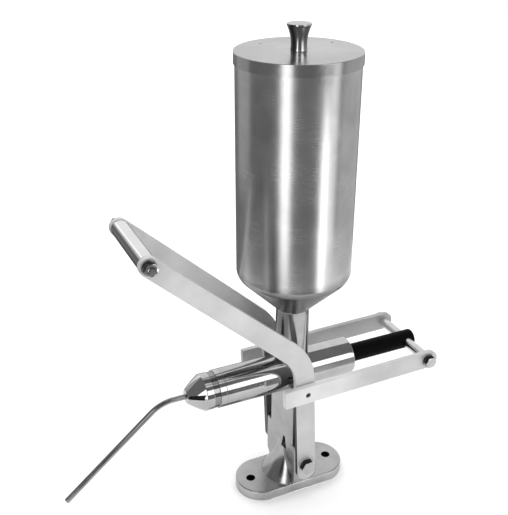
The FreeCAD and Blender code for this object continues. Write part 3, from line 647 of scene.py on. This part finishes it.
def weld_bead(name, path, width):
    """a ground weld: a thin closed bead laid along a path"""
    data = bpy.data.curves.new(name, "CURVE")
    data.dimensions = "3D"
    line = data.splines.new("NURBS")
    line.points.add(len(path) - 1)
    for point, spot in zip(line.points, path):
        point.co = (spot[0] * mm, spot[1] * mm, spot[2] * mm, 1)
    line.use_cyclic_u = True
    line.order_u = 4
    line.resolution_u = 3
    data.bevel_depth = width * mm
    data.bevel_resolution = 3
    data.materials.append(weld_steel)
    bead = bpy.data.objects.new(name, data)
    scene.collection.objects.link(bead)
    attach(bead, "root")


def round_neck(radius, height):
    """places round the neck at a radius, each at the height found from its distance to the side"""
    turns = [2 * math.pi * i / bead_steps for i in range(bead_steps)]
    return [(radius * math.cos(t), radius * math.sin(t), height(radius * math.sin(t))) for t in turns]


def on_barrel(y):
    """the height of the barrel's skin to the side of its axis, less the depth that the bead sinks in"""
    return axis_height + math.sqrt(barrel_radius ** 2 - y ** 2) - saddle_sink


saddle_line = round_neck(neck_radius + saddle_stand, on_barrel)
collar_line = round_neck(neck_radius + collar_stand, lambda y: neck_top + collar_stand)
weld_bead("weld_neck_barrel", saddle_line, saddle_bead)
weld_bead("weld_neck_cone", collar_line, collar_bead)

# Hopper. Stainless sheet rolled to a cylinder, with a cone and its rounded shoulder
# spun on below and the rim rolled inwards. The outside is brushed round and round.
hopper_radius = 63.5
sheet = 1.2
hopper_top = 533.2
shoulder_round = 12.0
roll_radius = 1.2
roll_inset = 0.6
roll_steps = 12
cone_painted_shade_from = 303.0
cone_painted_shade_full = 290.0
shoulder = neck_top + hopper_radius - neck_radius
inner_radius = hopper_radius - sheet
inner_low = neck_radius - sheet * math.sqrt(2)
inner_knee = neck_top + inner_radius - inner_low
roll_start = math.asin(roll_inset / roll_radius)
roll_turn = math.pi + 2 * roll_start
rim_roll = []
for i in range(roll_steps + 1):
    t = roll_start - roll_turn * i / roll_steps
    rim_roll.append((hopper_top - roll_radius + roll_radius * math.cos(t),
                     inner_radius - roll_inset + roll_radius * math.sin(t)))
shell = turned([(neck_top, inner_low), (neck_top, neck_radius), (shoulder, hopper_radius),
                (hopper_top, hopper_radius), (hopper_top, inner_radius)] + rim_roll +
               [(inner_knee, inner_radius)], "Z", steps=160)
turn_in = math.tan(math.radians(22.5))
rounded(shell, shoulder_round * turn_in, 10, where=lambda p: abs(p.z - shoulder) < close)
rounded(shell, (shoulder_round - sheet) * turn_in, 8, where=lambda p: abs(p.z - inner_knee) < close)
brushed_steel = metal("brushed_hopper", tone=0.62, rough=0.26, grain=(14, 14, 2600), bump=0.0000012,
                      blotch=22.0, rough_spread=0.025)
# Painted shade: the hopper is painted darker from just above its shoulder down over the whole cone.
shaded_where(brushed_steel, [placed("Z", cone_painted_shade_from, cone_painted_shade_full)], 0.42)
set_down(shell, "hopper", brushed_steel, "root", "brushed_steel", "hopper_shell")

# Lid. A pressed stainless cap with a deep skirt that drops over the hopper's rim,
# with two small vent holes and the knob screwed on through its middle.
lid_top = 534.2
lid_skirt = 12.2
lid_sheet = 0.9
lid_clearance = 1.25
lid_radius = hopper_radius + lid_clearance
lid_low = lid_top - lid_skirt
lid_under = lid_top - lid_sheet
lid_inside = lid_radius - lid_sheet
knob_hole = 2.55
vent = 1.25
drill_reach = 5.0
skirt_painted_shade_fade = 0.4
pressing = turned([(lid_top, 0), (lid_top, lid_radius), (lid_low, lid_radius),
                   (lid_low, lid_inside), (lid_under, lid_inside), (lid_under, 0)], "Z", steps=160)
rounded(pressing, 0.7, 4, where=lambda p: p.z > lid_top - close)
rounded(pressing, 0.2, 2, where=lambda p: p.z < lid_low + close)
for x, y, bore in ((0, 0, knob_hole), (-22.4, 41.8, vent), (46.1, 15.8, vent)):
    pressing = carved(pressing, cylinder(lid_low, lid_top + drill_reach, bore, "Z", (x, y, 0), steps=24))
lid_steel = metal("brushed_lid", tone=0.62, rough=0.24, grain=(70, 70, 1100), bump=0.000006,
                  blotch=16.0, rough_spread=0.07)
# Painted shade: the lid's upright skirt, below the top sheet, is painted a little darker.
shaded_where(lid_steel, [placed("Z", lid_under, lid_under - skirt_painted_shade_fade)], 0.88)
set_down(pressing, "lid_pressing", lid_steel, "lid_set", "brushed_steel", "lid")

# Knob. Turned steel with a waist and a wide flat top, polished all over and held
# by a screw and a washer from inside the lid.
knob_base = 8.5
knob_waist = 8.625
knob_radius = 12.3
knob_height = 25.6
knob_lip = 1.6
knob_bore_depth = 13.2
knob_steps = 16
knob_top = lid_top + knob_height
dip = (knob_base + knob_radius) / 2 - knob_waist
sweep = []
for i in range(knob_steps + 1):
    share = i / knob_steps
    sweep.append((lid_top + (knob_height - knob_lip) * share,
                  knob_base + (knob_radius - knob_base) * share - 4 * dip * share * (1 - share)))
knob = turned([(lid_top + knob_bore_depth, 0), (lid_top + knob_bore_depth, knob_hole), (lid_top, knob_hole)] +
              sweep + [(knob_top, knob_radius), (knob_top, 0)], "Z", steps=96)
rounded(knob, 0.5, 3, where=lambda p: p.z > knob_top - close)
knob_steel = metal("polished_knob", tone=0.60, rough=0.06, grain=(20, 20, 420),
                   bump=0.000003, rough_spread=0.02)
# Painted shade: the knob's upright sides that face front and back, along X, are darkened to a fifth.
shaded_where(knob_steel, [facing("X", 0.65, 0.85), facing("Z", 0.6, 0.4)], 0.2)
set_down(knob, "knob", knob_steel, "lid_set", "polished_steel", "lid_knob", smooth=30)
dress("knob_screw", fastener_steel)
dress("knob_washer", fastener_steel)

# Plunger and piston. A rod of black nylon, turned and chamfered at its end, carries
# a white piston with two rings, held on by a cap screw.
cross = (158.5, 0, axis_height)
rod_tail = 10.0
rod_end = cross[0] + rod_tail
piston_spigot = (33.0, 49.0)
piston_spigot_radius = 6.0
cross_rod_radius = 6.0
piston_screw_hole = (20.0, 55.1)
screw_radius = 4.0
cross_reach = 20.0
rod = turned([(piston_spigot[0], 0), (piston_spigot[0], piston_spigot_radius),
              (piston_spigot[1], piston_spigot_radius), (piston_spigot[1], rod_radius),
              (rod_end, rod_radius), (rod_end, 0)], "X", barrel_axis, steps=96)
rounded(rod, 1.5, 4, where=lambda p: p.x > rod_end - close)
rod = carved(rod, cylinder(-cross_reach, cross_reach, cross_rod_radius + slip, "Y", cross))
rod = carved(rod, cylinder(*piston_screw_hole, screw_radius + slip, "X", barrel_axis, steps=32))
black_nylon, lines = dull_stuff("black_nylon", colour=(0.001, 0.001, 0.001), grain=(900, 60, 60),
                                detail=4.0, rough=(0.45, 0.62), strength=0.5, bump=0.00001)
shader, add, link = graph(black_nylon)
shader.inputs["Specular IOR Level"].default_value = 0.08
ramp = add("ShaderNodeValToRGB")
for stop, grey in ((0, 0.001), (1, 0.0025)):
    ramp.color_ramp.elements[stop].color = (grey, grey, grey, 1)
link(lines, ramp.inputs["Fac"])
link(ramp.outputs["Color"], shader.inputs["Base Color"])
set_down(rod, "plunger", black_nylon, "plunger", "black_plastic", "plunger_rod")
white_nylon = dull_stuff("white_nylon", colour=(0.78, 0.77, 0.74), grain=(1200, 40, 40), detail=3.0,
                         rough=(0.3, 0.45), strength=0.5, bump=0.00001)[0]
shader = graph(white_nylon)[0]
shader.inputs["Subsurface Weight"].default_value = 0.1
shader.inputs["Subsurface Radius"].default_value = (0.002, 0.002, 0.002)
dress("piston", white_nylon)
dress("piston_screw", fastener_steel)

# Cross rod. A turned aluminium rod through the plunger's end that ties the links'
# rear ends together, with a hexagon bolt and a washer at each end.
link_inner = arm_outer + 0.65
link_outer = link_inner + bar_thick
half_rod = link_inner - side_gap
tapped = screw_radius + slip
thread_depth = 20.0
tapped_end = half_rod - thread_depth
pilot = 0.6
cross_washer_radius = 8.0
cross_washer_thick = 1.6
cross_head_across = 13.0
cross_head_height = 5.3
cross_head_overlap = 2.6
cross_rod = turned([(-half_rod, tapped), (-half_rod, cross_rod_radius), (half_rod, cross_rod_radius),
                    (half_rod, tapped), (tapped_end, tapped), (tapped_end, pilot),
                    (-tapped_end, pilot), (-tapped_end, tapped)], "Y", cross, steps=64)
rounded(cross_rod, 0.4, 2, where=lambda p: abs(abs(p.y) - half_rod) < close)
turned_aluminium = metal("turned_aluminium", tone=0.8, rough=0.24, grain=(30, 700, 30),
                         bump=0.000006, rough_spread=0.05)
set_down(cross_rod, "cross_bar", turned_aluminium, "plunger", "bar_aluminium", "cross_rod")
disc_start = link_outer + side_gap
seat = disc_start + cross_washer_thick
heads, discs = [], []
for side in (-1, 1):
    discs.append(washer(cross_washer_radius, tapped, side * disc_start, side * seat, cross))
    head = hexagon(cross_head_across, side * seat, side * (seat + cross_head_height), cross)
    shank = cylinder(side * (link_inner - thread_depth), side * (seat + cross_head_overlap),
                     screw_radius, "Y", cross, steps=40)
    heads.append(carved(head, shank, "UNION"))
set_down(joined(heads), "cross_bolts", fastener_steel, "plunger", "fastener_steel", "cross_rod_bolts",
         smooth=25)
set_down(joined(discs), "cross_washers", fastener_steel, "plunger", "fastener_steel", "cross_rod_washers")

# Links. Two flat aluminium bars sawn to length, square at the front and rounded at
# the rear, sanded along their length. Each turns on the cross rod's bolt.
lean = math.radians(2.5)
pin_height = 107.7
pin = (-pin_height * math.sin(lean), 0, pivot[2] + pin_height * math.cos(lean))
pin_radius = 3.0
pin_tail = 3.0
pin_recess = 1.2
link_length = math.hypot(cross[0] - pin[0], cross[2] - pin[2])
link_slope = math.atan2(cross[2] - pin[2], cross[0] - pin[0])
link_half = 11.1
link_tail = 1.5
link_corner = 2.0
bar_edge = 0.55
merge_reach = 0.06
drill_over = 3.0


def link_bar(side, reach):
    """a bar cut square at the front, its rear end rounded, laid along the line of pin and rod"""
    bar = bmesh.new()
    length = reach + link_length + link_tail + link_half
    middle = (length / 2 - reach, side * (link_inner + link_outer) / 2, 0)
    bmesh.ops.create_cube(bar, size=1)
    bmesh.ops.scale(bar, vec=(length, bar_thick, 2 * link_half), verts=bar.verts)
    bmesh.ops.translate(bar, vec=middle, verts=bar.verts)
    for end, radius, steps in ((1, link_half - close, 18), (-1, link_corner, 5)):
        bevelled(bar, [e for e in bar.edges if all(v.co.x * end > 0 for v in e.verts)
                       and abs(e.verts[0].co.y - e.verts[1].co.y) > 1], radius, steps)
    bmesh.ops.remove_doubles(bar, verts=bar.verts, dist=merge_reach)
    rounded(bar, bar_edge, 3, over=40)
    bmesh.ops.rotate(bar, matrix=Matrix.Rotation(-link_slope, 3, "Y"), verts=bar.verts)
    bmesh.ops.translate(bar, vec=pin, verts=bar.verts)
    for spot, bore in ((pin, pin_radius + slip), (cross, screw_radius + slip)):
        drill = cylinder(side * (link_inner - drill_over), side * (link_outer + drill_over), bore, "Y", spot)
        bar = carved(bar, drill)
    return bar


# Painted shade: each link is darkened to three quarters towards its ends, most of all towards the cross rod.
link_ends_painted_shade = [placed("X", 20, 90)]
dark_pin = metal("oxidised_pin", tone=0.05, rough=0.5, grain=(500, 500, 500), bump=0.00001,
                 rough_spread=0.08, tone_spread=0.02)
# Painted light and shade: both links are the same aluminium, painted lighter on the near link and darker on
# the far one.
for side, name, reach, tone in ((-1, "near", 29.0, 0.84), (1, "far", 37.5, 0.60)):
    finish = metal("sanded_link_painted_light_" + name, tone=tone, rough=0.46, grain=(50, 700, 800), bump=0.000007,
                   blotch=24.0, rough_spread=0.06)
    graph(finish)[0].inputs["Metallic"].default_value = 0.6
    shaded_where(finish, link_ends_painted_shade, 0.74)
    body = name + "_link"
    set_down(link_bar(side, reach), "link_bar_" + name, finish, body, "bar_aluminium", "link_" + name)
    peg = cylinder(side * (arm_inner - pin_tail), side * (link_outer - pin_recess),
                   pin_radius, "Y", pin, steps=40)
    rounded(peg, 0.5, 2)
    set_down(peg, "pin_" + name, dark_pin, body, "fastener_steel", "link_pin_" + name)
    dress("link_spacer_" + name, fastener_steel)

# Lever arms. Two flat aluminium bars bent edgewise like a hockey stick, drawn in
# towards the handle and set outwards a little there. They turn on the shoulder bolts.
arm_half = 12.0
arm_tip_half = 10.3
arm_bend = math.radians(45.0)
bend_line = 60.0
corner_height = 148.0
upper_length = 236.0
tail_drop = 9.6
spread = 6.6
spread_start = 30.0
spread_end = 205.0
spread_curve = 300.0
bush_hole = 6.6
slot_radius = 3.7
slot_drop = -5.238
tip_drill_over = 12.0
bend_steps = 20
leg_steps = 72
bend_reach = bend_line * math.tan(arm_bend / 2)
bend_start = corner_height - bend_reach
tip = (-corner_height * math.sin(lean) - upper_length * math.sin(lean + arm_bend), 0,
       pivot[2] + corner_height * math.cos(lean) + upper_length * math.cos(lean + arm_bend))


def outward(along):
    """how far the arm stands out at a distance along its upper leg, through two easy bends"""
    fall = spread / (spread_end - spread_start)
    ease = spread_curve * math.tan(math.atan(fall) / 2)
    if along < spread_start - ease:
        return 0.0
    if along < spread_start + ease:
        return (along - spread_start + ease) ** 2 / (4 * ease) * fall
    if along < spread_end - ease:
        return (along - spread_start) * fall
    if along < spread_end + ease:
        return spread - (spread_end + ease - along) ** 2 / (4 * ease) * fall
    return spread


def arm_bar(side):
    """the bar grown from its tail: a straight leg, the bend, then the long leg in short lengths"""
    corner_reach = 0.05
    tail_low = -tail_drop - arm_half
    bar = bmesh.new()
    bmesh.ops.create_grid(bar, x_segments=1, y_segments=1, size=0.5)
    bmesh.ops.scale(bar, vec=(2 * arm_half, bar_thick, 1), verts=bar.verts)
    bmesh.ops.translate(bar, vec=(0, side * (arm_inner + arm_outer) / 2, tail_low), verts=bar.verts)

    def grown(faces, way):
        made = bmesh.ops.extrude_face_region(bar, geom=faces)["geom"]
        bmesh.ops.delete(bar, geom=faces, context="FACES_ONLY")
        bmesh.ops.translate(bar, vec=way, verts=[v for v in made if isinstance(v, bmesh.types.BMVert)])
        return [f for f in made if isinstance(f, bmesh.types.BMFace)]

    tail = bar.faces[:]
    bmesh.ops.duplicate(bar, geom=tail)
    end = grown(tail, (0, 0, bend_start - tail_low))
    for step in range(bend_steps):
        end = grown(end, (0, 0, 0))
        bmesh.ops.rotate(bar, cent=(-bend_line, 0, bend_start), verts=list({v for f in end for v in f.verts}),
                         matrix=Matrix.Rotation(-arm_bend / bend_steps, 3, "Y"))
    over = Vector((-math.sin(arm_bend), 0, math.cos(arm_bend)))
    outer = Vector((math.cos(arm_bend), 0, math.sin(arm_bend)))
    corner = Vector((0, 0, corner_height))
    for step in range(leg_steps):
        end = grown(end, over * ((upper_length - bend_reach) / leg_steps))
    grown(end, over * arm_tip_half)
    bmesh.ops.remove_doubles(bar, verts=bar.verts, dist=0.001)
    for v in bar.verts:
        along = (v.co - corner).dot(over)
        if along > bend_reach and v.co.z > bend_start:
            share = min((along - bend_reach) / (upper_length - bend_reach), 1)
            aside = (v.co - corner).dot(outer)
            v.co -= outer * aside * share * (1 - arm_tip_half / arm_half)
            v.co.y += side * outward(along)
    bmesh.ops.recalc_face_normals(bar, faces=bar.faces)
    tip_end = corner + over * (upper_length + arm_tip_half)
    for spot, radius in ((Vector((0, 0, tail_low)), arm_half), (tip_end, arm_tip_half)):
        across = [e for e in bar.edges if abs(e.verts[0].co.y - e.verts[1].co.y) > bar_thick / 2
                  and all(abs((v.co - spot).length - math.hypot(radius, v.co.y - spot.y)) < corner_reach
                          for v in e.verts)]
        bevelled(bar, across, radius - 2 * close, 16, clamp=False)
    bmesh.ops.remove_doubles(bar, verts=bar.verts, dist=merge_reach)
    rounded(bar, bar_edge, 3, over=50)
    bmesh.ops.rotate(bar, cent=(0, 0, 0), matrix=Matrix.Rotation(-lean, 3, "Y"), verts=bar.verts)
    bmesh.ops.translate(bar, vec=pivot, verts=bar.verts)
    return bar


def pin_slot(side):
    """the short slot that the link's pin rides in, as a tool: a drill drawn out downwards"""
    drill = cylinder(side * (arm_inner - drill_over), side * (arm_outer + drill_over), slot_radius, "Y", pin)
    up = Vector((-math.sin(lean), 0, math.cos(lean)))
    for v in drill.verts:
        if (v.co - Vector(pin)).dot(up) < -0.001:
            v.co += up * slot_drop
    return drill


arm_aluminium = metal("sanded_arm", tone=0.70, rough=0.5, grain=(120, 700, 120), bump=0.000006,
                      blotch=20.0, rough_spread=0.06)
graph(arm_aluminium)[0].inputs["Metallic"].default_value = 0.6
# Painted shade: the arms' front and back edges are darkened to a tenth below the bend.
leg_edge_painted_shade = [facing("X", 0.9, 0.98), placed("Z", 160, 145)]
# Painted shade: the arms' inner faces are darkened more and more lower down, towards the hub, to about a
# fifth.
inner_face_painted_shade = [facing("Y", 0.8, 0.95), placed("Y", 43, 41.5), placed("Z", 260, 150)]
shaded_where(arm_aluminium, leg_edge_painted_shade, 0.1)
shaded_where(arm_aluminium, inner_face_painted_shade, 0.22)
for side, name in ((-1, "near"), (1, "far")):
    arm = arm_bar(side)
    for spot, bore in ((pivot, bush_hole), (tip, screw_radius + slip)):
        drill = cylinder(side * (arm_inner - drill_over), side * (arm_outer + tip_drill_over),
                         bore, "Y", spot)
        arm = carved(arm, drill)
    arm = carved(arm, pin_slot(side))
    set_down(arm, "arm_bar_" + name, arm_aluminium, "lever", "bar_aluminium", "lever_arm_" + name)

# Handle. A stainless tube between the arms' ends, clamped there by a long bolt with
# a nut and a washer outside each arm.
handle_inner = arm_inner + spread
handle_outer = arm_outer + spread
grip_radius = 9.525
grip_wall = 1.65
handle_washer_radius = 8.0
handle_washer_thick = 1.6
nut_across = 13.0
nut_height = 6.5
bolt_stand = 2.0
grip_bore = grip_radius - grip_wall
grip = turned([(-handle_inner, grip_bore), (-handle_inner, grip_radius),
               (handle_inner, grip_radius), (handle_inner, grip_bore)], "Y", tip, steps=96)
rounded(grip, 0.4, 2)
handle_steel = metal("polished_handle", tone=0.95, rough=0.13, grain=(260, 10, 260), bump=0.000003,
                     rough_spread=0.03, tone_spread=0.03)
# Painted shade: the grip's front and back, facing along X, are darkened to about a fifth, leaving its top and
# underside bright.
shaded_where(handle_steel, [facing("X", 0.68, 0.78)], 0.22)
set_down(grip, "handle_grip", handle_steel, "lever", "polished_steel", "handle_tube")
seat = handle_outer + handle_washer_thick
nut_face = seat + nut_height
nuts, discs = [], []
for side in (-1, 1):
    discs.append(washer(handle_washer_radius, screw_radius + slip, side * handle_outer, side * seat, tip))
    nut = hexagon(nut_across, side * seat, side * nut_face, tip, both=True)
    drill = cylinder(side * (seat - 1), side * (nut_face + 1), screw_radius + slip, "Y", tip, steps=40)
    nuts.append(carved(nut, drill))
set_down(joined(nuts), "handle_hex_nuts", fastener_steel, "lever", "fastener_steel", "handle_nuts", smooth=25)
set_down(joined(discs), "handle_flat_washers", fastener_steel, "lever", "fastener_steel", "handle_washers")


def screw_end(end, inward, radius, length=3.0, pitch=1.25):
    """the outline of the last turns of a thread that shows past a nut, chamfered at its end"""
    chamfer = 0.8
    chamfer_rim = 0.15
    groove = 0.45
    turn_share = 0.8
    step_down = 0.05
    line = [(0, 0), (0, radius - chamfer), (chamfer, radius - chamfer_rim)]
    along = chamfer
    while along < length:
        line += [(along + pitch / 4, radius - groove), (along + pitch / 2, radius)]
        along += turn_share * pitch
    line += [(length + pitch, radius), (length + pitch, radius - step_down)]
    return [(end + inward * a, r) for a, r in line]


bolt_end = nut_face + bolt_stand
through = turned(screw_end(-bolt_end, 1, screw_radius) + screw_end(bolt_end, -1, screw_radius)[::-1],
                 "Y", tip, steps=40)
set_down(through, "handle_through_bolt", fastener_steel, "lever", "fastener_steel", "handle_bolt", smooth=25)
